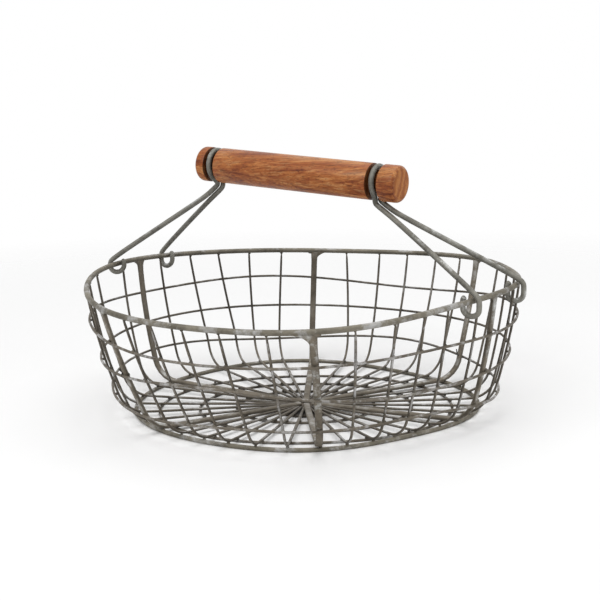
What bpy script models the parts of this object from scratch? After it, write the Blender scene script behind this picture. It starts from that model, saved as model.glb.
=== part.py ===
"""Hand-made wire onion basket with a turned wooden handle, standing on z = 0.

Metres, +Z up. The handle runs along X, and the origin is on the floor, under the middle of the box
round the whole basket.
The basket is welded from rods and wires: flat ribs with round spokes between them run down the wall,
round a soft bend and in to a small hub plate, which is a little off the middle. Hoops run round the
outside of the wall and rings run under the base. Two wire bails hook round the rim and loop round
grooves in the grip. Pieces that touch on the real basket keep a small gap here.
"""

import math

import bmesh
import bpy
from mathutils import Matrix, Vector
from mathutils.geometry import interpolate_bezier

# Clearances
WELD_GAP = 0.0003
CUT_ROOM = 0.0003
LOOP_PLAY = 0.0006
EYE_PLAY = 0.0004

# Rim: mean radius and height of the rod's centre line, and how far it rises towards the handle
RIM_RADIUS = 0.160
RIM_HEIGHT = 0.0975
RIM_ROD = 0.0040
RIM_RISE = 0.0045
RIM_RISE_TURN = 6.5
# Lobes of the hand-bent outlines: how many, their height as a share of the radius, where one points
RIM_LOBE_SHARES = ((2, 0.039, 70.0), (3, 0.031, 82.5), (4, 0.0065, 8.0), (5, 0.0075, 15.5), (6, 0.016, 10.5))
BASE_LOBE_SHARES = ((1, 0.075, 154.5), (2, 0.050, 18.0), (3, 0.0355, 22.0), (4, 0.0325, 35.5))

# Wall and base: where the wall's line meets the floor's, the bend between them, and the wall's swell
BASE_RADIUS = 0.1315
BEND_RADIUS = 0.0220
WALL_BULGE = 0.0016

# Ribs and spokes. A rib's leans are in degrees, and a spoke's are shares of the step between spokes
RIB_COUNT = 6
RIB_WIDTH = 0.0050
RIB_THICKNESS = 0.0030
RIB_ROUNDING = 0.0008
RIB_FLARE = 0.0022
RIB_FLARE_HEIGHT_SHARE = 0.1
RIB_TOP_LEANS = (-2.0, 7.5, 0.5, 2.0, 5.0, 4.0)
RIB_BASE_LEANS = (5.0, -1.5, 1.5, 4.0, 4.5, 6.0)
SPOKE_ROD = 0.0022
SPOKES_BETWEEN_RIBS = 5
SPOKE_TOP_SHARES = (
    (0.0, 0.0, 0.0, -0.1, -0.2),
    (-0.2, -0.25, -0.25, -0.3, -0.15),
    (0.05, 0.15, 0.25, 0.25, 0.28),
    (-0.35, 0.1, 0.0, 0.0, 0.0),
    (-0.05, -0.15, -0.25, -0.25, -0.05),
    (0.05, 0.15, 0.1, 0.0, 0.25),
)
SPOKE_BASE_SHARES = (
    (0.0, 0.0, 0.0, -0.05, -0.1),
    (-0.2, -0.15, -0.1, -0.15, -0.25),
    (0.1, -0.05, -0.4, -0.35, 0.0),
    (-0.2, 0.05, 0.0, 0.0, 0.0),
    (-0.05, -0.1, -0.15, -0.15, -0.05),
    (0.05, 0.1, 0.05, 0.0, 0.15),
)

# Hoops round the wall, at shares of its height from the rim down, each with its own slow wave
HOOP_ROD = 0.0022
HOOP_LEVEL_SHARES = (0.29, 0.62, 0.97)
HOOP_WAVE_SHARES = (
    ((1, 0.014, 94.0), (2, 0.007, -24.0), (4, 0.021, -1.0)),
    ((1, 0.012, 42.0), (2, 0.056, -2.0), (3, 0.028, -7.0), (4, 0.018, -42.0)),
    ((2, 0.028, 11.0), (3, 0.070, 17.0), (4, 0.036, 42.0)),
)
HOOP_SAG_SHARE = 0.2

# Rings under the base, as shares of its radius, and the plate that the ribs and spokes meet on
BASE_RING_ROD = 0.0022
BASE_RING_SHARES = (0.758, 0.552, 0.359)
RING_LOBE_SHARES = ((2, 0.115, 33.0),)
FOOT_RING_ROD = 0.0032
HUB_X = 0.0023
HUB_Y = -0.0081
HUB_RADIUS = 0.027
HUB_THICKNESS = 0.0015

# Bails: wire, feet as angles on the rim, height from the rim to each groove, and where the handle's
# middle lies along X and Y
BAIL_WIRE = 0.0040
LEFT_GROOVE_RISE = 0.0795
RIGHT_GROOVE_RISE = 0.0724
HANDLE_SHIFT = -0.0073
HANDLE_OFFSET = -0.0030
LEFT_FOOT_TURNS = (192.0, 172.9)
RIGHT_FOOT_TURNS = (-11.0, 12.0)
EYE_DROP = 0.0009
LEFT_EYE_LENGTHS = (0.0006, 0.0028)
RIGHT_EYE_LENGTHS = (0.0042, 0.0050)
EYE_SWEEP = 284.0
EYE_SHIFT_SHARES = (0.3, 0.9)
LOOP_SWEEP = 280.0
LOOP_TILT = 4.2
LEFT_PINCH_DROP = 0.0175
RIGHT_PINCH_DROP = 0.0153
LEFT_PINCH_TURN = -50.0
RIGHT_PINCH_TURN = 50.0
PINCH_LENGTH = 0.0110
BOW_PULL_SHARE = 0.45
LEG_PULL = 0.0060

# Grip: turned cylinder with a groove near each end
GRIP_LENGTH = 0.1737
GRIP_DIAMETER = 0.0265
GRIP_END_ROUNDING = 0.0030
LEFT_GROOVE_INSET = 0.0130
RIGHT_GROOVE_INSET = 0.0180
GROOVE_WIDTH = 0.0076
GROOVE_DEPTH = 0.0044
GROOVE_SHOULDER = 0.0008

# From the middle of the rim's mean circle, which everything is laid out from, to the origin
MIDDLE_X = -0.00305
MIDDLE_Y = 0.00595

# Facets
RIM_SEGMENTS, RIM_SIDES = 66, 8
HOOP_SEGMENTS, WIRE_SIDES = 72, 6
RING_SEGMENTS = (48, 36, 36)
FOOT_RING_SEGMENTS, HUB_SEGMENTS = 54, 36
WALL_STEPS, BEND_STEPS = 5, 5
LOOP_STEPS, BOW_STEPS, LEG_STEPS, EYE_STEPS = 20, 6, 8, (3, 9, 3)
GRIP_SEGMENTS, ROUNDING_STEPS = 28, 4
SHARP_EDGE = 50.0

# Levels and offsets that follow from the sizes above
RAD = math.pi / 180
HUB_CENTRE = Vector((HUB_X, HUB_Y, 0))
BASE_RING_TOP = BASE_RING_ROD * math.cos(math.pi / WIRE_SIDES)
FLOOR_LINE = BASE_RING_TOP + WELD_GAP + SPOKE_ROD / 2
TOP_DROP = RIM_ROD / 2 + WELD_GAP + CUT_ROOM
LOOP_RADIUS = GRIP_DIAMETER / 2 - GROOVE_DEPTH + LOOP_PLAY + BAIL_WIRE / 2
EYE_RADIUS = RIM_ROD / 2 + BAIL_WIRE / 2 + EYE_DROP + EYE_PLAY

ZINC = ("aged_zinc", (0.20, 0.19, 0.165, 1.0), 0.55, 0.8)
WORN_ZINC = ("worn_zinc", (0.27, 0.265, 0.24, 1.0), 0.5, 0.8)
DARK_STEEL = ("dark_steel", (0.05, 0.045, 0.04, 1.0), 0.6, 0.6)
WOOD = ("turned_wood", (0.36, 0.13, 0.045, 1.0), 0.42, 0.0)


def clear_scene():
    for obj in list(bpy.data.objects):
        bpy.data.objects.remove(obj, do_unlink=True)


def add_material(obj, look):
    """Give the object a material of its own."""
    finish, colour, roughness, metallic = look
    material = bpy.data.materials.new(f"{obj.name}_{finish}")
    material.use_nodes = True
    shader = material.node_tree.nodes["Principled BSDF"]
    shader.inputs["Base Color"].default_value = colour
    shader.inputs["Roughness"].default_value = roughness
    shader.inputs["Metallic"].default_value = metallic
    material.diffuse_color = colour
    obj.data.materials.append(material)


def lofted_object(name, sections, look, closed=False):
    """A solid through sections with equal numbers of points, capped at both ends or closed on itself."""
    mesh = bmesh.new()
    rings = [[mesh.verts.new(point) for point in section] for section in sections]
    pairs = list(zip(rings, rings[1:]))
    if closed:
        pairs.append((rings[-1], rings[0]))
    for first, second in pairs:
        for i in range(len(first)):
            j = (i + 1) % len(first)
            mesh.faces.new((first[i], first[j], second[j], second[i]))
    if not closed:
        mesh.faces.new(list(reversed(rings[0])))
        mesh.faces.new(rings[-1])
    bmesh.ops.recalc_face_normals(mesh, faces=mesh.faces)
    data = bpy.data.meshes.new(name)
    mesh.to_mesh(data)
    mesh.free()
    data.shade_smooth()
    data.set_sharp_from_angle(angle=SHARP_EDGE * RAD)
    obj = bpy.data.objects.new(name, data)
    bpy.context.collection.objects.link(obj)
    add_material(obj, look)
    return obj


def wire_object(name, points, diameter, look, origin=Vector()):
    """A round wire along points, with filled ends and its object origin at origin."""
    curve = bpy.data.curves.new(name, "CURVE")
    curve.dimensions = "3D"
    curve.bevel_depth = diameter / 2
    # A resolution of 0 gives four sides, and each step adds two
    curve.bevel_resolution = (WIRE_SIDES - 4) // 2
    curve.use_fill_caps = True
    spline = curve.splines.new("POLY")
    spline.points.add(len(points) - 1)
    for place, point in zip(spline.points, points):
        place.co = (*(point - origin), 1.0)
    spline.use_smooth = True
    obj = bpy.data.objects.new(name, curve)
    obj.location = origin
    bpy.context.collection.objects.link(obj)
    add_material(obj, look)
    return obj


def turned(radius, height, angle):
    """The point at a radius and height, turned by an angle round Z."""
    return Vector((radius * math.cos(angle), radius * math.sin(angle), height))


def bent_radius(radius, lobes, angle):
    """The radius of a hand-bent outline in one direction."""
    return radius * (1 + sum(share * math.cos(n * (angle - turn * RAD)) for n, share, turn in lobes))


def rim_point(angle):
    """Radius and height of the rim's centre line."""
    height = RIM_HEIGHT + RIM_RISE * math.cos(2 * (angle - RIM_RISE_TURN * RAD))
    return Vector((bent_radius(RIM_RADIUS, RIM_LOBE_SHARES, angle), height))


def wall_frame(angle):
    """Top and foot of the wall's line in one direction, as radius and height, and its outward normal."""
    top = rim_point(angle) - Vector((0, TOP_DROP))
    corner = Vector((bent_radius(BASE_RADIUS, BASE_LOBE_SHARES, angle), FLOOR_LINE))
    up = (top - corner).normalized()
    tangent = BEND_RADIUS / math.tan(up.angle(Vector((-1, 0))) / 2)
    return top, corner + up * tangent, Vector((up.y, -up.x))


def wall_point(angle, share, offset):
    """A point of the wall, a share of the way down and offset outwards."""
    top, foot, normal = wall_frame(angle)
    bulge = WALL_BULGE * math.sin(math.pi * share)
    return top.lerp(foot, share) + normal * (bulge + offset)


def bend_point(angle, share, offset):
    """A point of the bend between wall and base, a share of the way round."""
    _, foot, normal = wall_frame(angle)
    start = math.atan2(normal.y, normal.x)
    turn = start + (-math.pi / 2 - start) * share
    reach = BEND_RADIUS + offset
    return foot - normal * BEND_RADIUS + Vector((math.cos(turn), math.sin(turn))) * reach


def side_point(angle, share, offset):
    """A point of the wall, or of the bend below it where share is more than 1."""
    if share <= 1:
        return wall_point(angle, share, offset)
    top, foot, normal = wall_frame(angle)
    sweep = math.atan2(normal.y, normal.x) + math.pi / 2
    return bend_point(angle, (share - 1) * (top - foot).length / (BEND_RADIUS * sweep), offset)


def upright_stations(top_angle, base_angle, end_radius):
    """Centre, angle and offset-to-point function of each station from the rim to the hub."""
    axis = Vector()
    stations = []
    for i in range(WALL_STEPS + 1):
        share = i / WALL_STEPS
        angle = top_angle + (base_angle - top_angle) * share
        stations.append((axis, angle, lambda offset, a=angle, s=share: wall_point(a, s, offset)))
    for i in range(1, BEND_STEPS + 1):
        share = i / BEND_STEPS
        stations.append((axis, base_angle, lambda offset, s=share: bend_point(base_angle, s, offset)))
    end = Vector((end_radius, FLOOR_LINE))
    stations.append((HUB_CENTRE, hub_angle(base_angle), lambda offset: end - Vector((0, offset))))
    return stations


def hub_angle(base_angle):
    """The direction, seen from the hub, in which a wire at this angle of the base lies."""
    place = bend_point(base_angle, 1, 0)
    reach = turned(place.x, 0, base_angle) - HUB_CENTRE
    return math.atan2(reach.y, reach.x)


def angle_between(first, second):
    """The smaller angle between two directions."""
    return abs((second - first + math.pi) % (2 * math.pi) - math.pi)


def rib_angles():
    """Angles of the ribs at the rim and at the base."""
    steps = [360 / RIB_COUNT * i for i in range(RIB_COUNT)]
    tops = [(step + lean) * RAD for step, lean in zip(steps, RIB_TOP_LEANS)]
    bases = [(step + lean) * RAD for step, lean in zip(steps, RIB_BASE_LEANS)]
    return tops, bases


def spoke_angles(angles, sector, shares):
    """Angles of the spokes between one rib and the next."""
    start = angles[sector]
    end = angles[(sector + 1) % RIB_COUNT] + (2 * math.pi if sector == RIB_COUNT - 1 else 0)
    step = (end - start) / (SPOKES_BETWEEN_RIBS + 1)
    return [start + step * (i + 1 + shares[sector][i]) for i in range(SPOKES_BETWEEN_RIBS)]


def add_rim():
    sections = []
    for i in range(RIM_SEGMENTS):
        angle = 2 * math.pi * i / RIM_SEGMENTS
        sections.append(hoop_section(rim_point(angle), angle, RIM_ROD, RIM_SIDES))
    lofted_object("rim", sections, ZINC, closed=True)


def hoop_section(centre, angle, diameter, sides):
    """Points round a rod that runs round the basket, with a flat facet on its underside."""
    points = []
    for i in range(sides):
        turn = 2 * math.pi * (i + 0.5) / sides - math.pi / 2
        reach = centre + Vector((math.cos(turn), math.sin(turn))) * (diameter / 2)
        points.append(turned(reach.x, reach.y, angle))
    return points


def rib_section(centre, angle, point_at, flare):
    """Section of a rib: a flat bar with rounded edges whose outer face lies in line with the spokes'."""
    half = RIB_WIDTH / 2 + flare
    outer, inner = SPOKE_ROD / 2, SPOKE_ROD / 2 - RIB_THICKNESS
    corners = (
        (-half, outer - RIB_ROUNDING),
        (-half + RIB_ROUNDING, outer),
        (half - RIB_ROUNDING, outer),
        (half, outer - RIB_ROUNDING),
        (half, inner + RIB_ROUNDING),
        (half - RIB_ROUNDING, inner),
        (-half + RIB_ROUNDING, inner),
        (-half, inner + RIB_ROUNDING),
    )
    along = Vector((-math.sin(angle), math.cos(angle), 0))
    points = []
    for side, offset in corners:
        place = point_at(offset)
        points.append(centre + turned(place.x, place.y, angle) + along * side)
    return points


def add_ribs():
    """Six flat bars, flared where they are welded under the rim, that meet at the middle of the hub."""
    tops, bases = rib_angles()
    low = RIB_FLARE_HEIGHT_SHARE
    for i in range(RIB_COUNT):
        beside = [hub_angle(bases[i - 1]), hub_angle(bases[(i + 1) % RIB_COUNT])]
        nearest = min(angle_between(hub_angle(bases[i]), other) for other in beside)
        end_radius = (RIB_WIDTH / 2 + WELD_GAP) / math.tan(nearest / 2)
        stations = upright_stations(tops[i], bases[i], end_radius)
        angle = tops[i] + (bases[i] - tops[i]) * low
        stations.insert(1, (Vector(), angle, lambda offset, a=angle: wall_point(a, low, offset)))
        sections = []
        for k, station in enumerate(stations):
            sections.append(rib_section(*station, RIB_FLARE if k == 0 else 0))
        lofted_object(f"rib_{i + 1}", sections, WORN_ZINC)


def add_spokes():
    """Five round wires between each two ribs, each running in until it would touch its neighbours."""
    tops, bases = rib_angles()
    number = 1
    for sector in range(RIB_COUNT):
        top_angles = spoke_angles(tops, sector, SPOKE_TOP_SHARES)
        base_angles = spoke_angles(bases, sector, SPOKE_BASE_SHARES)
        around = [bases[sector], *base_angles, bases[(sector + 1) % RIB_COUNT]]
        beside = [hub_angle(angle) for angle in around]
        for i, (top, base) in enumerate(zip(top_angles, base_angles)):
            ends = []
            for other in (i, i + 2):
                is_rib = other in (0, SPOKES_BETWEEN_RIBS + 1)
                width = SPOKE_ROD + RIB_WIDTH + 2 * WELD_GAP if is_rib else SPOKE_ROD + WELD_GAP
                ends.append(width / 2 / math.sin(angle_between(beside[i + 1], beside[other]) / 2))
            points = []
            for centre, angle, point_at in upright_stations(top, base, max(ends)):
                place = point_at(0)
                points.append(centre + turned(place.x, place.y, angle))
            wire_object(f"spoke_{number:02d}", points, SPOKE_ROD, ZINC)
            number += 1


def add_wall_hoops():
    """Wavy hoops round the outside of the ribs and spokes."""
    offset = SPOKE_ROD / 2 + WELD_GAP + HOOP_ROD / 2
    sag = HOOP_ROD * HOOP_SAG_SHARE
    between = RIB_COUNT * (SPOKES_BETWEEN_RIBS + 1) / 2
    for number, (level, waves) in enumerate(zip(HOOP_LEVEL_SHARES, HOOP_WAVE_SHARES), 1):
        sections = []
        for i in range(HOOP_SEGMENTS):
            angle = 2 * math.pi * i / HOOP_SEGMENTS
            wave = sum(share * math.cos(n * (angle - turn * RAD)) for n, share, turn in waves)
            out = offset + sag * math.sin(between * angle) ** 2
            centre = side_point(angle, level + wave, out)
            sections.append(hoop_section(centre, angle, HOOP_ROD, WIRE_SIDES))
        lofted_object(f"wall_hoop_{number}", sections, ZINC, closed=True)


def facet_height(diameter, sides):
    """Height of a rod's centre line when it stands on one of its facets."""
    return diameter / 2 * math.cos(math.pi / sides)


def foot_ring_centre(angle):
    """Where the foot ring stands on the floor, just outside the bend of the spokes."""
    _, foot, normal = wall_frame(angle)
    middle = foot - normal * BEND_RADIUS
    reach = BEND_RADIUS + SPOKE_ROD / 2 + WELD_GAP + FOOT_RING_ROD / 2
    height = facet_height(FOOT_RING_ROD, RIM_SIDES)
    drop = middle.y - height
    return Vector((middle.x + math.sqrt(reach**2 - drop**2), height))


def add_base_rings():
    """The foot ring under the bend, and three rings under the flat of the base."""
    sections = []
    for i in range(FOOT_RING_SEGMENTS):
        angle = 2 * math.pi * i / FOOT_RING_SEGMENTS
        centre = foot_ring_centre(angle)
        sections.append(hoop_section(centre, angle, FOOT_RING_ROD, RIM_SIDES))
    lofted_object("foot_ring", sections, ZINC, closed=True)
    height = facet_height(BASE_RING_ROD, WIRE_SIDES)
    for number, (share, segments) in enumerate(zip(BASE_RING_SHARES, RING_SEGMENTS), 1):
        radius = BASE_RADIUS * share
        sections = []
        for i in range(segments):
            angle = 2 * math.pi * i / segments
            centre = Vector((bent_radius(radius, RING_LOBE_SHARES, angle), height))
            section = hoop_section(centre, angle, BASE_RING_ROD, WIRE_SIDES)
            sections.append([HUB_CENTRE + point for point in section])
        lofted_object(f"base_ring_{number}", sections, ZINC, closed=True)


def add_hub_plate():
    mesh = bmesh.new()
    level = BASE_RING_TOP - HUB_THICKNESS / 2
    bmesh.ops.create_cone(
        mesh,
        cap_ends=True,
        segments=HUB_SEGMENTS,
        radius1=HUB_RADIUS,
        radius2=HUB_RADIUS,
        depth=HUB_THICKNESS,
        matrix=Matrix.Translation((HUB_X, HUB_Y, level)),
    )
    data = bpy.data.meshes.new("hub_plate")
    mesh.to_mesh(data)
    mesh.free()
    obj = bpy.data.objects.new("hub_plate", data)
    bpy.context.collection.objects.link(obj)
    add_material(obj, DARK_STEEL)


def foot_places(turns):
    """Centre of the rim and its outward direction at each foot of a bail."""
    places = []
    for turn in turns:
        angle = turn * RAD
        step = RAD
        ends = [turned(*rim_point(angle + way * step), angle + way * step) for way in (-1, 1)]
        along = (ends[1] - ends[0]).normalized()
        outward = Vector((along.y, -along.x, 0)).normalized()
        places.append((turned(*rim_point(angle), angle), outward))
    return places


def handle_pose():
    """Hinges, groove centres and the direction of the grip, in the plane that the handle leans in."""
    left, right = (
        sum((place for place, _ in foot_places(turns)), Vector()) / len(turns)
        for turns in (LEFT_FOOT_TURNS, RIGHT_FOOT_TURNS)
    )
    left.y = right.y = HANDLE_OFFSET
    apart = GRIP_LENGTH - LEFT_GROOVE_INSET - RIGHT_GROOVE_INSET
    heights = left.z + LEFT_GROOVE_RISE, right.z + RIGHT_GROOVE_RISE
    dip = math.asin((heights[1] - heights[0]) / apart)
    middle = Vector((HANDLE_SHIFT, HANDLE_OFFSET, sum(heights) / 2))
    reach = in_plane(dip) * (apart / 2)
    return left, right, middle - reach, middle + reach, dip


def in_plane(angle):
    """Direction at an angle above +X in the upright plane of the handle."""
    return Vector((math.cos(angle), 0, math.sin(angle)))


def eased(share):
    """0 to 1 with level ends."""
    share = min(max(share, 0), 1)
    return share * share * (3 - 2 * share)


def eye_points(foot, outward, start, length):
    """The hook round the rim: from where the leg touches it, over, under and up inside to its tip."""
    centre = foot - Vector((0, 0, EYE_DROP))
    side = outward.cross(Vector((0, 0, 1)))
    reach = start - centre
    flat = Vector((reach.dot(outward), reach.z))
    first = math.atan2(flat.y, flat.x) - math.acos(EYE_RADIUS / flat.length)
    last = first - EYE_SWEEP * RAD
    low, high = EYE_SHIFT_SHARES
    bends = ((first, 0, 0), (0, -math.pi, length), (-math.pi, last, 0))
    points = []
    for (start_turn, end_turn, drop), steps in zip(bends, EYE_STEPS):
        for i in range(steps + 1):
            turn = start_turn + (end_turn - start_turn) * i / steps
            share = (first - turn) / (first - last)
            shift = (BAIL_WIRE + WELD_GAP) * eased((share - low) / (high - low))
            place = centre + outward * (EYE_RADIUS * math.cos(turn)) + side * shift
            points.append(place + Vector((0, 0, EYE_RADIUS * math.sin(turn) - drop)))
    return points


def bail_line(groove, axis, feet, eye_lengths, pinch_drop, pinch_turn):
    """A bail's centre line: eye, leg, loop round the groove, leg, eye. axis is the loop's own.

    The legs are pinched together under the grip, with one a little over the other. feet holds the
    foot on the -Y side first.
    """
    up = Vector((-axis.z, 0, axis.x))
    across = Vector((0, 1, 0))
    pinch = groove - up * pinch_drop
    fall = (feet[0][0] + feet[1][0]) / 2 - pinch
    fall = Vector((fall.x, 0, fall.z)).normalized()
    lift = Vector((-fall.z, 0, fall.x)) * math.copysign(1, fall.x)
    beside = across * math.cos(pinch_turn * RAD) + lift * math.sin(pinch_turn * RAD)
    halves = []
    for (foot, outward), length, way in zip(feet, eye_lengths, (-1, 1)):
        start = pinch + beside * (way * (BAIL_WIRE + WELD_GAP) / 2)
        end = start + fall * PINCH_LENGTH
        eye = eye_points(foot, outward, end, length)
        turn = math.pi / 2 - way * LOOP_SWEEP / 2 * RAD
        entry = loop_point(groove, across, up, turn)
        heading = (across * math.sin(turn) - up * math.cos(turn)) * way
        pull = (entry - start).length * BOW_PULL_SHARE
        bow = interpolate_bezier(entry, entry + heading * pull, start - fall * pull, start, BOW_STEPS)
        hook = (eye[1] - eye[0]).normalized()
        shank = interpolate_bezier(
            end, end + fall * LEG_PULL, eye[0] - hook * LEG_PULL, eye[0], LEG_STEPS
        )
        halves.append([*bow, *shank, *eye[1:]])
    loop = []
    for i in range(1, LOOP_STEPS):
        turn = math.pi / 2 + (1 - 2 * i / LOOP_STEPS) * LOOP_SWEEP / 2 * RAD
        loop.append(loop_point(groove, across, up, turn))
    return [*reversed(halves[0]), *loop, *halves[1]]


def loop_point(groove, across, up, turn):
    return groove + (across * math.cos(turn) + up * math.sin(turn)) * LOOP_RADIUS


def add_handle():
    """Both bails and the grip, each with its origin on its own hinge."""
    left, right, left_groove, right_groove, dip = handle_pose()
    axis = in_plane(dip + LOOP_TILT * RAD)
    left_feet = foot_places(LEFT_FOOT_TURNS)
    right_feet = foot_places(RIGHT_FOOT_TURNS)
    left_shape = LEFT_EYE_LENGTHS, LEFT_PINCH_DROP, LEFT_PINCH_TURN
    right_shape = RIGHT_EYE_LENGTHS, RIGHT_PINCH_DROP, RIGHT_PINCH_TURN
    left_line = bail_line(left_groove, axis, left_feet, *left_shape)
    right_line = bail_line(right_groove, axis, right_feet, *right_shape)
    wire_object("left_bail", left_line, BAIL_WIRE, ZINC, left)
    wire_object("right_bail", right_line, BAIL_WIRE, ZINC, right)
    add_grip(left_groove, right_groove)


def grip_profile():
    """Half section of the grip, as distance along its axis from the left groove, and radius."""
    radius = GRIP_DIAMETER / 2
    neck = radius - GROOVE_DEPTH
    start, end = -LEFT_GROOVE_INSET, GRIP_LENGTH - LEFT_GROOVE_INSET
    rounding = []
    for i in range(ROUNDING_STEPS + 1):
        turn = math.pi / 2 * i / ROUNDING_STEPS
        along = GRIP_END_ROUNDING * (1 - math.cos(turn))
        rounding.append((along, radius - GRIP_END_ROUNDING * (1 - math.sin(turn))))
    profile = [(start + along, reach) for along, reach in rounding]
    for centre in (0, end - RIGHT_GROOVE_INSET):
        half = GROOVE_WIDTH / 2
        profile.append((centre - half - GROOVE_SHOULDER, radius))
        profile.append((centre - half, neck))
        profile.append((centre + half, neck))
        profile.append((centre + half + GROOVE_SHOULDER, radius))
    return profile + [(end - along, reach) for along, reach in reversed(rounding)]


def add_grip(left_groove, right_groove):
    """The turned grip, its origin at the left groove."""
    rows = []
    for along, radius in grip_profile():
        row = []
        for i in range(GRIP_SEGMENTS):
            turn = 2 * math.pi * i / GRIP_SEGMENTS
            row.append(Vector((along, radius * math.cos(turn), radius * math.sin(turn))))
        rows.append(row)
    grip = lofted_object("grip", rows, WOOD)
    grip.location = left_groove
    run = right_groove - left_groove
    grip.rotation_euler = (0, -math.atan2(run.z, run.x), 0)


def lay_on_origin():
    """Move everything so that the origin is under the middle of the box round the basket."""
    for obj in bpy.data.objects:
        obj.location -= Vector((MIDDLE_X, MIDDLE_Y, 0))


def main():
    clear_scene()
    add_rim()
    add_ribs()
    add_spokes()
    add_wall_hoops()
    add_base_rings()
    add_hub_plate()
    add_handle()
    lay_on_origin()


main()
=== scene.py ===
"""Onion basket of aged zinc wire with a turned wooden grip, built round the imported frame.

Lengths are metres, +Z is up, and angles are degrees unless a comment says radians. Each wire is a
rounded copy of its node, the spot welds sit where two wires come closest, and the grip is turned
afresh.
"""

import math
import random

import bpy
from mathutils import Euler, Matrix, Vector
from mathutils.bvhtree import BVHTree


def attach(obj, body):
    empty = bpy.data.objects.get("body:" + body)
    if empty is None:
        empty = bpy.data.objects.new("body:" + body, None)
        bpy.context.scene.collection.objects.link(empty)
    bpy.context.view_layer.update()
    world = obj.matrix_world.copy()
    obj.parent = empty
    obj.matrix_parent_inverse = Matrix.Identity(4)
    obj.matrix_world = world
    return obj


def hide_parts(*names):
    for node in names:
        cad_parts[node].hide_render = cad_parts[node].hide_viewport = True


RAD = math.pi / 180
UP = Vector((0, 0, 1))

# Middle of the rim's mean circle, from the origin
MIDDLE = Vector((0.00305, -0.00595, 0))

# Nodes of a kind
RIBS = [f"rib_{i}" for i in range(1, 7)]
SPOKES = [f"spoke_{i:02d}" for i in range(1, 31)]
HOOPS = [f"wall_hoop_{i}" for i in range(1, 4)]
RINGS = [f"base_ring_{i}" for i in range(1, 4)]
BAILS = ["left_bail", "right_bail"]

# Rods and wires: diameters, and the share of its radius that each is swollen before it is rounded
RIM_ROD = 0.0040
SPOKE_ROD = 0.0022
FOOT_ROD = 0.0032
BAIL_WIRE = 0.0040
ROD_SWELL_SHARE = 0.10
SPOKE_SWELL_SHARE = 0.02
BAIL_SWELL_SHARE = 0.17
ROUNDING_LEVELS = 2
MERGE_DISTANCE = 0.00002

# Uprights: how much of an upright's top is its head, how far the head is lifted into the rim, and
# how much of a rib's flare is kept there
HEAD = 0.0030
HEAD_LIFT = 0.0012
FLARE_KEPT_SHARE = 0.62

# Soft edges: widths, facets, how sharp a bend gets one, and how sharp a bend is shaded as round
RIB_EDGE = 0.0005
SMALL_EDGE = 0.0004
EDGE_FACETS = 2
RIB_EDGE_ANGLE = 28
SMALL_EDGE_ANGLE = 50
SMOOTH_ANGLE = 40
GRIP_SMOOTH_ANGLE = 35

# Grip, measured along its own axis from the left groove. A face that looks this squarely along the
# axis is sawn end.
GRIP_LENGTH = 0.1737
GRIP_RADIUS = 0.01325
GRIP_FACETS = 72
END_ROUNDING = 0.0030
END_STEPS = 8
END_SQUARENESS = 0.97
LEFT_END = -0.0130
GROOVES = (0, 0.1427)
GROOVE_HALF = 0.0040
GROOVE_DEPTH = 0.0044
GROOVE_SHOULDER = 0.0008
GROOVE_CORNER = 0.0003
LEFT_GROOVE_PLACE = Vector((-0.075508, -0.008950, 0.181210))
GRIP_DIP = 2.9155

# Welds: half sizes of a bead, its coarse mesh and how uneven that is, the spread of sizes between
# copies, and the widest gap that is still a weld
SPOT_BEAD = Vector((0.0013, 0.0010, 0.0009))
RIM_BEAD = Vector((0.0012, 0.0011, 0.0012))
RIB_BEAD = Vector((0.0033, 0.0015, 0.0016))
BEAD_SIDES = 8
BEAD_RINGS = 5
BEAD_UNEVENNESS = (0.88, 1.08)
BEAD_SEED = 7
COPY_SIZES = (0.85, 1.15)
COPY_SEED = 3
SPOT_REACH = 0.0012
RIM_REACH = 0.0025

# Search for the closest places: the longest edge of a wire's mesh, and the parts it is divided into
LONGEST_EDGE = 0.020
EDGE_PARTS = 16

# Fillets between the ribs and the rim: how deep and round the hollow is, how far a fillet runs into
# the rib and the rim, how far down a rib its neck reaches, and the width and height of the fillet
# before and after each rib
FILLET_THICKNESS = 0.0026
HOLLOW_SHARE = 0.985
HOLLOW_ROUNDNESS = 0.12
HOLLOW_STEPS = 10
FILLET_IN_RIB = 0.0004
FILLET_IN_RIM = 0.0008
RIB_NECK = 0.0120
RIB_FILLETS = {
    "rib_1": ((0.0035, 0.0035), (0.0030, 0.0030)),
    "rib_2": ((0.0040, 0.0040), (0.0030, 0.0030)),
    "rib_3": ((0.0105, 0.0060), None),
    "rib_4": ((0.0040, 0.0045), (0.0060, 0.0050)),
    "rib_5": ((0.0035, 0.0035), (0.0030, 0.0030)),
    "rib_6": ((0.0110, 0.0075), None),
}

# Wire ties: thickness of the wire, half width of a turn and the share of it in its height, how far
# the turn's middle lies in from the hoop, and the steps of its two ends as shares of that half
# width. Each tied rib has its hoop, and the way that the twist points.
TIE_WIRE = 0.0010
TIE_SIDES = 8
TIE_STEPS = 20
TIE_TURN = 0.0036
TIE_FLAT_SHARE = 0.8
TIE_INSET = 0.0006
TIE_TWIST_SHARES = (
    ((0.20, 0.16, 0.10), (0.20, -0.20, -0.14), (0.16, -0.10, 0.12), (0.34, -0.34, 0.10)),
    ((0.20, -0.16, -0.10), (0.20, 0.20, 0.14), (0.16, 0.10, -0.12), (0.26, 0.40, -0.20)),
)
TIED_RIBS = {"rib_5": (HOOPS[1], 200), "rib_2": (HOOPS[2], -15)}

# Hub: the plate's middle, how near the spokes come to it, how much of a spoke's end is moved there
# and how far that spreads
HUB_MIDDLE = Vector((0.00535, -0.01405, 0.0019))
HUB_REACH = 0.0050
SPOKE_END = 0.0030
SPOKE_SPREAD = 1.8

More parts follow.
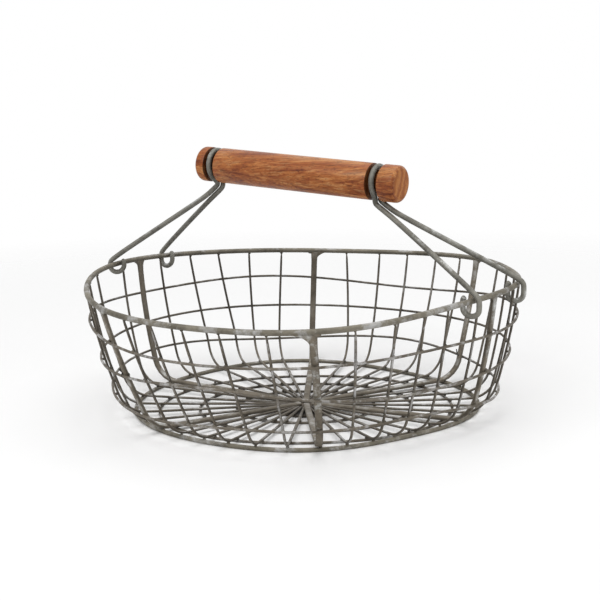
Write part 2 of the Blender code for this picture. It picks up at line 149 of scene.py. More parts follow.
# Zinc: a dark and a middle tone, the pale bloom (rubbed zinc and a painted highlight), how strong
# that is where it is rubbed, and the share of light inside the basket under the painted shade
ZINCS = {
    # The thin wire's tones are aged zinc darkened further as painted shade.
    "aged_shaded_zinc_wire": (
        (0.060, 0.048, 0.034), (0.180, 0.155, 0.120), (0.56, 0.56, 0.56), 0.80, 0.42,
    ),
    "aged_zinc_rod": (
        (0.085, 0.074, 0.053), (0.235, 0.212, 0.165), (0.50, 0.50, 0.50), 0.70, 0.65,
    ),
    "worn_zinc_bar": (
        (0.082, 0.068, 0.048), (0.225, 0.192, 0.146), (0.62, 0.63, 0.62), 0.85, 0.60,
    ),
    "rubbed_zinc_bail": (
        (0.085, 0.080, 0.066), (0.265, 0.255, 0.220), (0.64, 0.65, 0.64), 0.85, 0.80,
    ),
    "weld_zinc": (
        (0.055, 0.046, 0.033), (0.160, 0.138, 0.105), (0.38, 0.37, 0.35), 0.70, 0.50,
    ),
    "dark_tie": (
        (0.020, 0.018, 0.015), (0.060, 0.052, 0.042), (0.20, 0.19, 0.18), 0.70, 0.45,
    ),
}
ZINC_METAL = 0.4
ZINC_ROUGHNESS = (0.45, 0.7)
SCUFF_SHIFT = (0.37, 0.11, 0.23)

# Painted shade in the middle of the base: where it starts and ends brightening outwards, and how
# much light is left in it
SHADED_MIDDLE = (0.035, 0.110)
MIDDLE_SHADE_SHARE = 0.40

# Hub plate: its tones, the near black painted shadow towards its front, and how far that reaches
PLATE_TONES = ((0.060, 0.048, 0.035), (0.13, 0.105, 0.08))
SHADOW_TONE = (0.008, 0.007, 0.006)
SHADOW_PLACE = (0.0105, -0.0285, 0.0019)
SHADOW_RADIUS = 0.0105
SHADOW_FADE_SHARES = (0.7, 1.3)

# Wood: the tones from the dark streaks to the pale ones and their places in a noise, the slant of
# the grain, and the noises with their stretch along and across the grip, their detail and warp
WOOD_TONES = (
    (0.120, 0.024, 0.007), (0.310, 0.082, 0.020), (0.450, 0.160, 0.042), (0.600, 0.300, 0.120),
)
WOOD_STOPS = (0.37, 0.47, 0.55, 0.65)
WOOD_SLANT = (0, 5, -9)
WOOD_NOISES = {
    "figure": ((14, 75, 75), 5.0, 1.6),
    "streaks": ((26, 520, 520), 6.0, 0.8),
    "pores": ((260, 1900, 1900), 3.0, 0.3),
    "dabs": ((70, 420, 420), 2.0, 0.5),
}
WOOD_ROUGHNESS = (0.30, 0.5)
PORE_TONE_SHARE = 0.5
# The grooves' wood is darkened to this share of the wood's tones: painted shade in the grooves.
GROOVE_SHADE = 0.3

# Sawn ends: the rings' tones and their places, the rings' shift off the axis, and the pores' tone
END_TONES = (
    (0.1, (0.32, 0.100, 0.023)), (0.5, (0.40, 0.138, 0.034)), (0.9, (0.48, 0.185, 0.052)),
)
RING_SHIFT = (0, 0.030, -0.009)
END_PORE_TONE = (0.13, 0.045, 0.018)

# Camera, in the photograph's frame: its turn, its pitch and roll in radians, its distance from the
# target, and the lens and sensor in millimetres
CAMERA_TURN = 33.35
CAMERA_PITCH = 0.201
CAMERA_ROLL = -0.017
CAMERA_REACH = 0.9053
CAMERA_TARGET = Vector((-0.005654, 0, 0.082045))
LENS = 72
SENSOR = 36
CLIP_START = 0.01

# Floor, world and lamps. Each lamp has its place in the photograph's frame, its size and its power.
FLOOR_RADIUS = 2.2
FLOOR_SIDES = 96
FLOOR_FADE = (0.25, 0.95)
WORLD_LIGHT = 0.5
LAMPS = {
    "window": ((-0.9, -1.1, 1.5), 1.2, 15),
    "overhead": ((0.3, 0.2, 1.8), 1.4, 12),
    "side": ((1.6, -0.8, 0.7), 1.0, 5),
}
LAMP_AIM = Vector((0, 0, 0.08))

# Sockets that a Mix node uses for colours
MIX_SHARE, MIX_FIRST, MIX_SECOND = 0, 6, 7
MIX_RESULT = 2


# Objects and edit mode


def pick(*objects):
    """Select only these objects, with the first one active."""
    bpy.ops.object.select_all(action="DESELECT")
    for obj in objects:
        obj.select_set(True)
    bpy.context.view_layer.objects.active = objects[0]


def shape(obj):
    """Go into edit mode with all of the object selected."""
    pick(obj)
    bpy.ops.object.mode_set(mode="EDIT")
    bpy.ops.mesh.select_all(action="SELECT")


def select_vertices(obj, chosen):
    """Go into edit mode with only the chosen vertices selected."""
    indexes = [vertex.index for vertex in chosen]
    pick(obj)
    bpy.ops.object.mode_set(mode="EDIT")
    bpy.ops.mesh.select_mode(type="VERT")
    bpy.ops.mesh.select_all(action="DESELECT")
    bpy.ops.object.mode_set(mode="OBJECT")
    for index in indexes:
        obj.data.vertices[index].select = True
    bpy.ops.object.mode_set(mode="EDIT")


def done():
    """Leave edit mode."""
    bpy.ops.object.mode_set(mode="OBJECT")


def face_outwards():
    """In edit mode, turn all faces of the object outwards."""
    bpy.ops.mesh.select_all(action="SELECT")
    bpy.ops.mesh.normals_make_consistent(inside=False)


def settle(obj):
    """Apply the place, turn and size of an object, so that its origin is the world's."""
    pick(obj)
    bpy.ops.object.transform_apply(location=True, rotation=True, scale=True)


def finish_with(obj, kind, **settings):
    """Add a modifier and apply it."""
    pick(obj)
    modifier = obj.modifiers.new(kind.title(), kind)
    for key, value in settings.items():
        setattr(modifier, key, value)
    bpy.ops.object.modifier_apply(modifier=modifier.name)


def soften(obj, width, angle):
    """Round the edges of bends sharper than angle, and shade what is left as round."""
    finish_with(
        obj, "BEVEL", width=width, segments=EDGE_FACETS,
        limit_method="ANGLE", angle_limit=angle * RAD,
    )
    bpy.ops.object.shade_smooth_by_angle(angle=SMOOTH_ANGLE * RAD)


def join(objects, name):
    """Join objects into the first one, under a new name."""
    pick(*objects)
    bpy.ops.object.join()
    piece = bpy.context.object
    piece.name = name
    return piece


def middle_of(vertices):
    """The mean place of some vertices."""
    return sum((vertex.co for vertex in vertices), Vector()) / len(vertices)


def around(place):
    """The direction round the basket at a place."""
    return UP.cross(place - MIDDLE).normalized()


def place_piece(piece, node, body):
    """Let a piece ride on its body and stand for its node, if it has one."""
    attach(piece, body)
    if node:
        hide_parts(node)


# Nodes of materials. A spot is a node's place in the editor, and an input may be given a socket to
# follow or a fixed value.


def feed(tree, socket, value):
    """Link an input to a socket, or give it a fixed value."""
    if isinstance(value, bpy.types.NodeSocket):
        tree.links.new(value, socket)
    else:
        socket.default_value = value


def feed_inputs(tree, node, **inputs):
    """Feed inputs by their names, with _ for a space."""
    for key, value in inputs.items():
        feed(tree, node.inputs[key.replace("_", " ")], value)


def add_node(tree, kind, spot, **inputs):
    """A node with some of its inputs fed."""
    node = tree.nodes.new(kind)
    node.location = spot
    feed_inputs(tree, node, **inputs)
    return node


def add_operation(tree, kind, operation, spot, values):
    """A maths node with its inputs fed in order."""
    node = add_node(tree, kind, spot)
    node.operation = operation
    for socket, value in zip(node.inputs, values):
        feed(tree, socket, value)
    return node


def number_maths(tree, operation, spot, *values):
    """The result of an operation on numbers."""
    return add_operation(tree, "ShaderNodeMath", operation, spot, values).outputs["Value"]


def vector_maths(tree, operation, spot, *values, output="Vector"):
    """The result of an operation on vectors. Its output is Value where it is a number."""
    return add_operation(tree, "ShaderNodeVectorMath", operation, spot, values).outputs[output]


def colour_ramp(tree, spot, source, stops):
    """A colour from a number. stops are positions with their colours."""
    ramp = add_node(tree, "ShaderNodeValToRGB", spot, Fac=source)
    elements = ramp.color_ramp.elements
    while len(elements) < len(stops):
        elements.new(0.5)
    for element, (position, colour) in zip(elements, stops):
        element.position = position
        element.color = (*colour, 1)
    return ramp.outputs["Color"]


def mixed(tree, spot, share, first, second, blend="MIX"):
    """Mix two colours by share."""
    mix = add_node(tree, "ShaderNodeMix", spot)
    mix.data_type = "RGBA"
    mix.blend_type = blend
    for index, value in ((MIX_SHARE, share), (MIX_FIRST, first), (MIX_SECOND, second)):
        feed(tree, mix.inputs[index], value)
    return mix.outputs[MIX_RESULT]


def blended(tree, spot, share, first, second):
    """Blend two shaders by share."""
    blend = add_node(tree, "ShaderNodeMixShader", spot)
    for socket, value in zip(blend.inputs, (share, first, second)):
        feed(tree, socket, value)
    return blend.outputs[0]


def span(tree, spot, source, given, wanted):
    """Map a number from one span to another, held at its ends."""
    node = add_node(tree, "ShaderNodeMapRange", spot)
    for socket, value in zip(node.inputs, (source, *given, *wanted)):
        feed(tree, socket, value)
    return node.outputs[0]


def noise(tree, spot, place, scale, detail, roughness=0.5, warp=0.0):
    """A cloudy noise, from 0 to 1."""
    node = add_node(
        tree, "ShaderNodeTexNoise", spot,
        Vector=place, Scale=scale, Detail=detail, Roughness=roughness, Distortion=warp,
    )
    return node.outputs["Fac"]


def mapped(tree, spot, place, kind="POINT", **inputs):
    """Coordinates moved, turned or stretched."""
    node = add_node(tree, "ShaderNodeMapping", spot)
    node.vector_type = kind
    feed_inputs(tree, node, Vector=place, **inputs)
    return node.outputs["Vector"]


def add_bump(tree, shader, spot, height, strength, distance, invert=False):
    """Small bumps on a shader's surface."""
    bump = add_node(
        tree, "ShaderNodeBump", spot, Height=height, Strength=strength, Distance=distance
    )
    bump.invert = invert
    feed_inputs(tree, shader, Normal=bump.outputs["Normal"])


def start_material(name):
    """A new material, its node tree, its shader and the object's coordinates."""
    material = bpy.data.materials.new(name)
    material.use_nodes = True
    tree = material.node_tree
    coords = add_node(tree, "ShaderNodeTexCoord", (-1400, 0))
    return material, tree, tree.nodes["Principled BSDF"], coords.outputs["Object"]


# Materials


def outer_side(tree, place):
    """How far a surface faces up or away from the basket's middle, and less so near that middle.
    This steers where the zinc gets painted shade and painted highlight.
    """
    flat = vector_maths(tree, "MULTIPLY_ADD", (-1200, -600), place, (1, 1, 0), -MIDDLE)
    away = vector_maths(tree, "NORMALIZE", (-1050, -600), flat)
    normal = add_node(tree, "ShaderNodeNewGeometry", (-1200, -800)).outputs["Normal"]
    outward = vector_maths(tree, "DOT_PRODUCT", (-900, -600), away, normal, output="Value")
    upward = add_node(tree, "ShaderNodeSeparateXYZ", (-900, -800), Vector=normal).outputs["Z"]
    facing_out = number_maths(tree, "MAXIMUM", (-700, -700), outward, upward)
    reach = vector_maths(tree, "LENGTH", (-1050, -1000), flat, output="Value")
    from_middle = span(tree, (-900, -1000), reach, SHADED_MIDDLE, (MIDDLE_SHADE_SHARE, 1.0))
    return number_maths(tree, "MULTIPLY", (-600, -850), facing_out, from_middle)


def zinc(name, dark, middle, bloom, rubbed, shade):
    """Aged zinc: brown patches and speckle, with painted shade inside the basket, and a pale bloom
    outside that is partly rubbed zinc and partly a painted highlight on faces turned up and out.
    """
    material, tree, shader, place = start_material(name)
    shifted = mapped(tree, (-1250, -300), place, Location=SCUFF_SHIFT)
    patches = noise(tree, (-1100, 300), place, scale=48.0, detail=6.0, roughness=0.66)
    speckle = noise(tree, (-1100, 0), place, scale=420.0, detail=4.0, roughness=0.6)
    scuffs = noise(tree, (-1100, -300), shifted, scale=62.0, detail=7.0, roughness=0.72)
    pits = noise(tree, (-1100, -1000), place, scale=900.0, detail=3.0)
    broad = colour_ramp(tree, (-800, 300), patches, ((0.36, dark), (0.60, middle)))
    fine = colour_ramp(tree, (-800, 0), speckle, ((0.36, dark), (0.64, middle)))
    body = mixed(tree, (-500, 200), 0.35, broad, fine)
    outer = outer_side(tree, place)
    # Painted shade: the colour is darkened on faces that turn neither up nor out, and more so in
    # the middle of the base.
    light = span(tree, (-500, -600), outer, (-0.1, 0.8), (shade, 1.0))
    shaded = mixed(tree, (-300, 200), 1.0, body, light, "MULTIPLY")
    # The pale bloom is rubbed zinc in the scuffed patches and, since it is kept to faces turned up
    # and out, also a painted highlight.
    outer_and_lit_side = span(tree, (-500, -800), outer, (0.15, 0.9), (0.0, 1.0))
    worn = span(tree, (-700, -300), scuffs, (0.50, 0.64), (0.0, rubbed))
    wear_and_highlight = number_maths(tree, "MULTIPLY", (-300, -450), outer_and_lit_side, worn)
    skin = mixed(tree, (-700, -1000), 0.5, pits, scuffs)
    feed_inputs(
        tree, shader,
        Base_Color=mixed(tree, (-100, 100), wear_and_highlight, shaded, (*bloom, 1)),
        Roughness=span(tree, (-300, -200), speckle, (0.35, 0.65), ZINC_ROUGHNESS),
        Metallic=ZINC_METAL,
    )
    add_bump(tree, shader, (-300, -800), skin, strength=0.5, distance=0.0005)
    return material


def hub_steel(name):
    """The plate under the middle: brown like the wires on it, with a near black painted shadow
    towards its front.
    """
    material, tree, shader, place = start_material(name)
    speckle = noise(tree, (-1000, 200), place, scale=260.0, detail=5.0)
    brown = colour_ramp(tree, (-700, 200), speckle, list(zip((0.35, 0.65), PLATE_TONES)))
    away = vector_maths(tree, "DISTANCE", (-1000, -200), place, SHADOW_PLACE, output="Value")
    fade = [SHADOW_RADIUS * share for share in SHADOW_FADE_SHARES]
    # Painted shadow: a near black patch on the plate's front, where the spokes and ribs shade it.
    painted_shadow = span(tree, (-700, -200), away, fade, (1.0, 0.0))
    feed_inputs(
        tree, shader,
        Base_Color=mixed(tree, (-400, 100), painted_shadow, brown, (*SHADOW_TONE, 1)),
        Roughness=0.7,
        Metallic=0.3,
    )
    return material


def grip_place(tree, place):
    """Coordinates along the grip, measured from the left groove."""
    turn = (0, GRIP_DIP * RAD, 0)
    return mapped(tree, (-1200, 0), place, "TEXTURE", Location=LEFT_GROOVE_PLACE, Rotation=turn)


def turned_wood(name, shade=1.0):
    """Oiled red-brown wood, with wavy figure, streaks and dark pores that run along the grip."""
    material, tree, shader, place = start_material(name)
    slant = tuple(angle * RAD for angle in WOOD_SLANT)
    slanted = mapped(tree, (-1100, 200), grip_place(tree, place), Rotation=slant)
    marks = {}
    for row, (key, (stretch, detail, warp)) in enumerate(WOOD_NOISES.items()):
        height = 400 - 300 * row
        stretched = mapped(tree, (-950, height), slanted, Scale=stretch)
        marks[key] = noise(tree, (-750, height), stretched, 1.0, detail, roughness=0.62, warp=warp)
    # A shade below 1 darkens every tone, as painted shade.
    tones = [tuple(value * shade for value in tone) for tone in WOOD_TONES]
    stops = list(zip(WOOD_STOPS, tones))
    broad = colour_ramp(tree, (-500, 400), marks["figure"], stops)
    fine = colour_ramp(tree, (-500, 100), marks["streaks"], stops)
    wood = mixed(tree, (-200, 250), 0.5, broad, fine)
    holes = span(tree, (-500, -200), marks["pores"], (0.56, 0.66), (0.0, 0.75))
    flecks = span(tree, (-500, -500), marks["dabs"], (0.60, 0.68), (0.0, 0.5))
    dark_share = number_maths(tree, "MAXIMUM", (-300, -300), holes, flecks)
    dark = (*(value * PORE_TONE_SHARE for value in tones[0]), 1)
    relief = mixed(tree, (-200, -500), 0.5, marks["pores"], marks["streaks"])
    feed_inputs(
        tree, shader,
        Base_Color=mixed(tree, (0, 200), dark_share, wood, dark),
        Roughness=span(tree, (-200, -100), marks["streaks"], (0.3, 0.7), WOOD_ROUGHNESS),
        Specular_IOR_Level=0.22,
        Coat_Weight=0.06,
        Coat_Roughness=0.25,
    )
    add_bump(tree, shader, (0, -400), relief, strength=0.4, distance=0.0004, invert=True)
    return material


def end_grain(name):
    """The sawn ends: growth rings round a heart that lies off the middle, and small pores."""
    material, tree, shader, place = start_material(name)
    local = grip_place(tree, place)
    ring_place = mapped(tree, (-1000, 200), local, Location=RING_SHIFT, Scale=(0, 1, 1))
    rings = add_node(
        tree, "ShaderNodeTexWave", (-800, 200),
        Vector=ring_place, Scale=42.0, Distortion=7.0, Detail=6.0, Detail_Scale=2.4,
    )
    rings.wave_type = "RINGS"
    rings.rings_direction = "X"
    ring = rings.outputs["Fac"]
    pores = noise(tree, (-800, -200), local, scale=1500.0, detail=2.0)
    ringed = colour_ramp(tree, (-550, 200), ring, END_TONES)
    holes = span(tree, (-550, -200), pores, (0.56, 0.68), (0.0, 0.6))
    feed_inputs(
        tree, shader,
        Base_Color=mixed(tree, (-250, 150), holes, ringed, (*END_PORE_TONE, 1)),
        Roughness=0.5,
        Specular_IOR_Level=0.15,
    )
    add_bump(tree, shader, (-250, -300), ring, strength=0.3, distance=0.0003)
    return material


# Wires and bars


def node_copy(node, name, material):
    """A merged copy of a node's mesh as a piece of its own, in quads where it was quads."""
    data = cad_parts[node].data.copy()
    data.name = name
    data.materials.clear()
    data.materials.append(material)
    piece = bpy.data.objects.new(name, data)
    bpy.context.collection.objects.link(piece)
    shape(piece)
    bpy.ops.mesh.remove_doubles(threshold=MERGE_DISTANCE)
    bpy.ops.mesh.tris_convert_to_quads(face_threshold=math.pi, shape_threshold=math.pi)
    done()
    return piece


def head_of(upright):
    """The vertices at the top of an upright."""
    top = max(vertex.co.z for vertex in upright.data.vertices)
    return [vertex for vertex in upright.data.vertices if vertex.co.z > top - HEAD]


def reach_rim(upright):
    """Run the top of an upright up to the underside of the rim."""
    select_vertices(upright, head_of(upright))
    bpy.ops.transform.translate(value=(0, 0, HEAD_LIFT))
    done()


def run_in(spoke):
    """Run a spoke's inner end on to the hub, widening as the weld there spreads."""
    vertices = spoke.data.vertices
    nearest = min((vertex.co - HUB_MIDDLE).length for vertex in vertices)
    end = [
        vertex for vertex in vertices if (vertex.co - HUB_MIDDLE).length < nearest + SPOKE_END
    ]
    middle = middle_of(end)
    inward = HUB_MIDDLE - middle
    inward.z = 0
    step = inward.normalized() * max(inward.length - HUB_REACH, 0)
    select_vertices(spoke, end)
    bpy.ops.transform.translate(value=step)
    bpy.ops.transform.resize(
        value=(SPOKE_SPREAD, SPOKE_SPREAD, 1), center_override=middle + step
    )
    done()


def round_wire(node, material, diameter, swell_share, body="basket"):
    """A wire rounded from its faceted node."""
    piece = node_copy(node, f"{node}_wire", material)
    if node in SPOKES:
        reach_rim(piece)
        run_in(piece)
    shape(piece)
    bpy.ops.transform.shrink_fatten(value=diameter / 2 * swell_share)
    done()
    finish_with(piece, "SUBSURF", levels=ROUNDING_LEVELS, render_levels=ROUNDING_LEVELS)
    bpy.ops.object.shade_smooth()
    place_piece(piece, node, body)
    return piece


def rounded_bar(node, material):
    """A flat rib with soft edges and its head drawn in, for the fillets to stand beside."""
    piece = node_copy(node, f"{node}_bar", material)
    reach_rim(piece)
    head = head_of(piece)
    middle = middle_of(head)
    along = around(middle)
    select_vertices(piece, head)
    bpy.ops.transform.resize(
        value=(FLARE_KEPT_SHARE, 1, 1), orient_type="GLOBAL",
        orient_matrix=Matrix((along, UP.cross(along), UP)).transposed(),
        orient_matrix_type="GLOBAL", center_override=middle,
    )
    done()
    soften(piece, RIB_EDGE, RIB_EDGE_ANGLE)
    place_piece(piece, node, "basket")
    return piece


def round_hub(material):
    """The plate under the middle, with a soft edge."""
    piece = node_copy("hub_plate", "hub_disc", material)
    soften(piece, SMALL_EDGE, SMALL_EDGE_ANGLE)
    place_piece(piece, "hub_plate", "basket")


# Welds and ties


def surface(piece):
    """A piece's surface, for finding the nearest place on it."""
    return BVHTree.FromObject(piece, bpy.context.evaluated_depsgraph_get())


def nearest_of(tree, points, reach):
    """The point nearest to a surface, and its nearest place on it."""
    best = None
    for point in points:
        place, _, _, gap = tree.find_nearest(point, reach)
        if place is not None:
            reach = gap
            best = (point, place)
    return best


def touch(tree, piece, reach):
    """Where a piece comes closest to a surface, along any of its edges, and the way across."""
    points = [vertex.co for vertex in piece.data.vertices]
    rough = nearest_of(tree, points, LONGEST_EDGE)
    if not rough:
        return None
    along_edges = []
    for edge in piece.data.edges:
        first, last = (points[i] for i in edge.vertices)
        if rough[0] in (first, last):
            along_edges += [first.lerp(last, i / EDGE_PARTS) for i in range(EDGE_PARTS + 1)]
    fine = nearest_of(tree, along_edges, reach)
    if not fine:
        return None
    point, place = fine
    return (point + place) / 2, place - point


def bead(name, size):
    """One uneven bead of weld, as a master copy."""
    bpy.ops.mesh.primitive_uv_sphere_add(segments=BEAD_SIDES, ring_count=BEAD_RINGS, radius=1)
    master = bpy.context.object
    master.name = name
    draw = random.Random(BEAD_SEED)
    for vertex in master.data.vertices:
        vertex.co *= draw.uniform(*BEAD_UNEVENNESS)
        vertex.co = Vector(a * b for a, b in zip(vertex.co, size))
    return master


def lay_copies(name, master, places, material):
    """Copy the master to each place, turned to lie along the wire there, and join the copies."""
    draw = random.Random(COPY_SEED)
    copies = []
    for place, along, out in places:
        one = bpy.data.objects.new(name, master.data.copy())
        bpy.context.collection.objects.link(one)
        side = along.cross(out).normalized()
        turn = Matrix((along, side, along.cross(side))).transposed().to_4x4()
        size = Matrix.Scale(draw.uniform(*COPY_SIZES), 4)
        one.matrix_world = Matrix.Translation(place) @ turn @ size
        copies.append(one)
    piece = join(copies, name)
    settle(piece)
    bpy.ops.object.shade_smooth()
    piece.data.materials.clear()
    piece.data.materials.append(material)
    place_piece(piece, None, "basket")
    bpy.data.objects.remove(master)


def spot_welds(uprights, rings, material):
    """A bead wherever an upright crosses a hoop or a ring."""
    places = []
    for ring in rings:
        tree = surface(ring)
        for upright in uprights:
            found = touch(tree, upright, SPOT_REACH)
            if found:
                place, out = found
                along = around(place)
                places.append((place, along, (out - along * out.dot(along)).normalized()))
    lay_copies("spot_welds", bead("spot_bead", SPOT_BEAD), places, material)


def rim_welds(name, uprights, rim, size, material):
    """A bead where each upright meets the rim."""
    places = []
    tree = surface(rim)
    for upright in uprights:
        found = touch(tree, upright, RIM_REACH)
        if found:
            place = found[0]
            places.append((place, around(place), UP))
    lay_copies(name, bead("rim_bead", size), places, material)


def tie_section(**settings):
    """The round section of the tie's wire, settled and in edit mode."""
    bpy.ops.mesh.primitive_circle_add(
        vertices=TIE_SIDES, radius=TIE_WIRE / 2, location=(TIE_TURN, 0, 0), **settings
    )
    section = bpy.context.object
    settle(section)
    shape(section)
    return section


def tie_master():
    """One turn of thin wire with its ends twisted together and cut short, as a master copy."""
    turn = tie_section()
    bpy.ops.mesh.spin(steps=TIE_STEPS, angle=360 * RAD, center=(0, 0, 0), axis=(0, 1, 0))
    bpy.ops.mesh.select_all(action="SELECT")
    bpy.ops.mesh.remove_doubles(threshold=MERGE_DISTANCE)
    bpy.ops.transform.resize(value=(1, 1, TIE_FLAT_SHARE), center_override=(0, 0, 0))
    done()
    parts = [turn]
    for twist in TIE_TWIST_SHARES:
        end = tie_section(fill_type="NGON", rotation=(0, 90 * RAD, 0))
        for step in twist:
            move = Vector(step) * TIE_TURN
            bpy.ops.mesh.extrude_region_move(TRANSFORM_OT_translate={"value": move})
        done()
        parts.append(end)
    tie = join(parts, "tie")
    shape(tie)
    face_outwards()
    done()
    return tie


def wire_ties(ribs, hoops, material):
    """A tie of thin wire where a hoop crosses each of two ribs."""
    places = []
    for rib, (hoop, lean) in TIED_RIBS.items():
        place, out = touch(surface(hoops[hoop]), ribs[rib], SPOT_REACH)
        out.normalize()
        along = around(place)
        down = along.cross(out)
        knot = (along * math.cos(lean * RAD) + down * math.sin(lean * RAD)).normalized()
        places.append((place - out * TIE_INSET, knot, out))
    lay_copies("wire_ties", tie_master(), places, material)


def rib_fillet(width, height, origin, along, down, material):
    """One hollow-sided fillet of weld in the corner between a rib and the rim."""
    bpy.ops.mesh.primitive_plane_add(size=1, location=(0.5, 0.5, 0))
    piece = bpy.context.object
    settle(piece)
    far_corner = [v for v in piece.data.vertices if v.co.x > 0.5 and v.co.y > 0.5]
    select_vertices(piece, far_corner)
    bpy.ops.mesh.bevel(
        offset=HOLLOW_SHARE, segments=HOLLOW_STEPS, profile=HOLLOW_ROUNDNESS, affect="VERTICES"
    )
    bpy.ops.mesh.select_all(action="SELECT")
    bpy.ops.mesh.extrude_region_move(TRANSFORM_OT_translate={"value": (0, 0, 1)})
    face_outwards()
    done()
    out = along.cross(down).normalized()
    axes = Matrix((along * width, down * height, out * FILLET_THICKNESS)).transposed().to_4x4()
    piece.matrix_world = Matrix.Translation(origin - out * FILLET_THICKNESS / 2) @ axes
    settle(piece)
    shape(piece)
    face_outwards()
    done()
    soften(piece, SMALL_EDGE, SMALL_EDGE_ANGLE)
    piece.data.materials.append(material)
    return piece


def rib_fillets(ribs, rim, material):
    """Fillets where the ribs meet the rim, wide ones on one side of the two middle ribs."""
    made = []
    tree = surface(rim)
    for node, sides in RIB_FILLETS.items():
        vertices = ribs[node].data.vertices
        top = max(vertex.co.z for vertex in vertices)
        neck = [vertex for vertex in vertices if HEAD < top - vertex.co.z < RIB_NECK]
        middle = middle_of(head_of(ribs[node]))
        below = middle_of(neck)
        down = (below - middle).normalized()
        along = around(middle)
        half = max(abs((vertex.co - below).dot(along)) for vertex in neck)
        rim_place = tree.find_nearest(middle)[0]
        for way, size in zip((-1, 1), sides):
            if size:
                beside = rim_place + along * (way * (half - FILLET_IN_RIB))
                origin = beside - down * FILLET_IN_RIM
                made.append(rib_fillet(*size, origin, along * way, down, material))
    place_piece(join(made, "rib_fillets"), None, "basket")


# Grip


def grip_steps():
    """Distance along the grip and radius of each ring of the turned shape."""
    neck = GRIP_RADIUS - GROOVE_DEPTH
    end = LEFT_END + GRIP_LENGTH
    rounding = []
    for i in range(END_STEPS + 1):
        turn = 90 * RAD * i / END_STEPS
        along = END_ROUNDING * (1 - math.cos(turn))
        rounding.append((along, GRIP_RADIUS - END_ROUNDING * (1 - math.sin(turn))))
    steps = [(LEFT_END + along, radius) for along, radius in rounding]
    for centre in GROOVES:
        for way in (-1, 1):
            lip = centre + way * (GROOVE_HALF + GROOVE_SHOULDER)
            foot = centre + way * GROOVE_HALF
            side = [
                (lip + way * GROOVE_CORNER, GRIP_RADIUS),
                (lip, GRIP_RADIUS - GROOVE_CORNER / 3),
                (lip - way * GROOVE_CORNER, GRIP_RADIUS - GROOVE_CORNER * 2),
                (foot + way * GROOVE_CORNER, neck + GROOVE_CORNER * 2),
                (foot, neck + GROOVE_CORNER / 3),
                (foot - way * GROOVE_CORNER, neck),
            ]
            steps += side[::-way]
    return steps + [(end - along, radius) for along, radius in reversed(rounding)]


def turn_grip(wood, shaded_groove_wood, ends):
    """Extrude and scale a disc along the grip's axis, ring by ring, then set it in its place."""
    steps = grip_steps()
    start, radius = steps[0]
    bpy.ops.mesh.primitive_circle_add(
        vertices=GRIP_FACETS, radius=radius, fill_type="NGON", location=(0, 0, start)
    )
    grip = bpy.context.object
    grip.name = "turned_grip"
    settle(grip)
    shape(grip)
    for (before, old), (after, new) in zip(steps, steps[1:]):
        bpy.ops.mesh.extrude_region_move(TRANSFORM_OT_translate={"value": (0, 0, after - before)})
        bpy.ops.transform.resize(value=(new / old, new / old, 1))
    face_outwards()
    done()
    for material in (wood, shaded_groove_wood, ends):
        grip.data.materials.append(material)
    groove_index, end_index = 1, 2  # their places among the three materials
    groove_reach = GROOVE_HALF + GROOVE_SHOULDER
    for face in grip.data.polygons:
        if any(abs(face.center.z - centre) < groove_reach for centre in GROOVES):
            face.material_index = groove_index
        elif abs(face.normal.z) > END_SQUARENESS:
            face.material_index = end_index
    grip.rotation_euler = Euler((0, (90 + GRIP_DIP) * RAD, 0))
    grip.location = LEFT_GROOVE_PLACE
    settle(grip)
    bpy.ops.object.shade_smooth_by_angle(angle=GRIP_SMOOTH_ANGLE * RAD)
    place_piece(grip, "grip", "grip")


# Stage


def to_frame(vector):
    """From the photograph's frame to the basket's."""
    return Matrix.Rotation(CAMERA_TURN * RAD, 3, "Z") @ vector


def add_camera():
    """The camera at the photograph's view."""
    forward = Vector((0, math.cos(CAMERA_PITCH), -math.sin(CAMERA_PITCH)))
    right = Vector((1, 0, 0))
    up = right.cross(forward)
    place = MIDDLE + to_frame(CAMERA_TARGET - forward * CAMERA_REACH)
    across = to_frame(right * math.cos(CAMERA_ROLL) + up * math.sin(CAMERA_ROLL))
    above = to_frame(up * math.cos(CAMERA_ROLL) - right * math.sin(CAMERA_ROLL))
    bpy.ops.object.camera_add()
    camera = bpy.context.object
    camera.name = "view"
    turn = Matrix((across, above, -to_frame(forward))).transposed().to_4x4()
    camera.matrix_world = Matrix.Translation(place) @ turn
    camera.data.sensor_width = SENSOR
    camera.data.lens = LENS
    camera.data.clip_start = CLIP_START
    bpy.context.scene.camera = camera


def add_floor():
    """A pale floor that fades out round the basket, so that no horizon shows."""
    bpy.ops.mesh.primitive_circle_add(vertices=FLOOR_SIDES, radius=FLOOR_RADIUS, fill_type="NGON")
    floor = bpy.context.object
    floor.name = "floor"
    material, tree, shader, place = start_material("pale_floor")
    feed_inputs(
        tree, shader, Base_Color=(0.95, 0.95, 0.95, 1), Roughness=0.9, Specular_IOR_Level=0.1
    )
    reach = vector_maths(tree, "LENGTH", (-500, -300), place, output="Value")
    fade = span(tree, (-300, -300), reach, FLOOR_FADE, (0.0, 1.0))
    clear = add_node(tree, "ShaderNodeBsdfTransparent", (0, -600))
    faded = blended(tree, (350, -300), fade, shader.outputs[0], clear.outputs[0])
    feed_inputs(tree, tree.nodes["Material Output"], Surface=faded)
    floor.data.materials.append(material)


def add_world():
    """White for what the camera sees and for reflections, and a softer white as light."""
    world = bpy.data.worlds.new("studio")
    bpy.context.scene.world = world
    world.use_nodes = True
    tree = world.node_tree
    tree.nodes.clear()
    white = (1, 1, 1, 1)
    seen = add_node(tree, "ShaderNodeBackground", (200, 100), Color=white, Strength=1.0)
    light = add_node(tree, "ShaderNodeBackground", (200, -100), Color=white, Strength=WORLD_LIGHT)
    rays = add_node(tree, "ShaderNodeLightPath", (-400, 0)).outputs
    sharp = number_maths(tree, "MAXIMUM", (-200, 0), rays["Is Camera Ray"], rays["Is Glossy Ray"])
    share = number_maths(tree, "MAXIMUM", (-50, 0), sharp, rays["Is Transmission Ray"])
    both = blended(tree, (400, 0), share, light.outputs[0], seen.outputs[0])
    add_node(tree, "ShaderNodeOutputWorld", (600, 0), Surface=both)


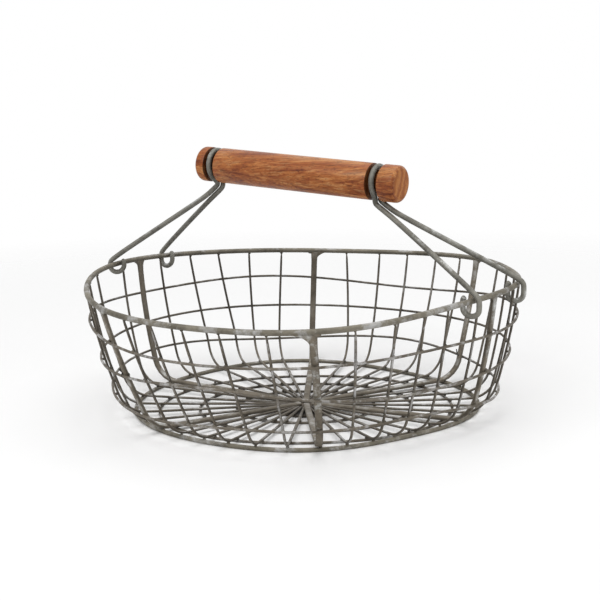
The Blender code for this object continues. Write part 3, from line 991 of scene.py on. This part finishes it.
def add_lamp(name, place, size, power):
    """A square soft lamp, at a place in the photograph's frame, aimed at the basket."""
    bpy.ops.object.light_add(type="AREA", location=MIDDLE + to_frame(Vector(place)))
    lamp = bpy.context.object
    lamp.name = name
    lamp.data.size = size
    lamp.data.energy = power
    aim = MIDDLE + LAMP_AIM - lamp.location
    lamp.rotation_mode = "QUATERNION"
    lamp.rotation_quaternion = aim.to_track_quat("-Z", "Y")


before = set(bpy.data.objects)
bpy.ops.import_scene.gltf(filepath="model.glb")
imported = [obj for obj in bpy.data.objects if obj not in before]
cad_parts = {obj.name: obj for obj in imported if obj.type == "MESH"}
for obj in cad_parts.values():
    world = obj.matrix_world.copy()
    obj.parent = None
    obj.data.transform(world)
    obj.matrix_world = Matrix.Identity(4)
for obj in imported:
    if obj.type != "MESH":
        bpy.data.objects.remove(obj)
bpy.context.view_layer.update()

zincs = {name: zinc(name, *look) for name, look in ZINCS.items()}
wire_look = (zincs["aged_shaded_zinc_wire"], SPOKE_ROD, SPOKE_SWELL_SHARE)

rim = round_wire("rim", zincs["aged_zinc_rod"], RIM_ROD, ROD_SWELL_SHARE)
ribs = {node: rounded_bar(node, zincs["worn_zinc_bar"]) for node in RIBS}
spokes = [round_wire(node, *wire_look) for node in SPOKES]
hoops = {node: round_wire(node, *wire_look) for node in HOOPS}
rings = [round_wire(node, *wire_look) for node in RINGS]
foot = round_wire("foot_ring", zincs["aged_zinc_rod"], FOOT_ROD, ROD_SWELL_SHARE)
round_hub(hub_steel("dark_plate"))
spot_welds([*ribs.values(), *spokes], [*hoops.values(), *rings, foot], zincs["weld_zinc"])
rim_welds("rim_welds", spokes, rim, RIM_BEAD, zincs["weld_zinc"])
rim_welds("rib_seams", ribs.values(), rim, RIB_BEAD, zincs["worn_zinc_bar"])
rib_fillets(ribs, rim, zincs["worn_zinc_bar"])
wire_ties(ribs, hoops, zincs["dark_tie"])
for bail in BAILS:
    round_wire(bail, zincs["rubbed_zinc_bail"], BAIL_WIRE, BAIL_SWELL_SHARE, bail)
turn_grip(
    turned_wood("oiled_wood"), turned_wood("shaded_groove_wood", GROOVE_SHADE), end_grain("sawn_ends")
)

bpy.context.scene.view_settings.view_transform = "Standard"
add_camera()
add_floor()
add_world()
for name, settings in LAMPS.items():
    add_lamp(name, *settings)
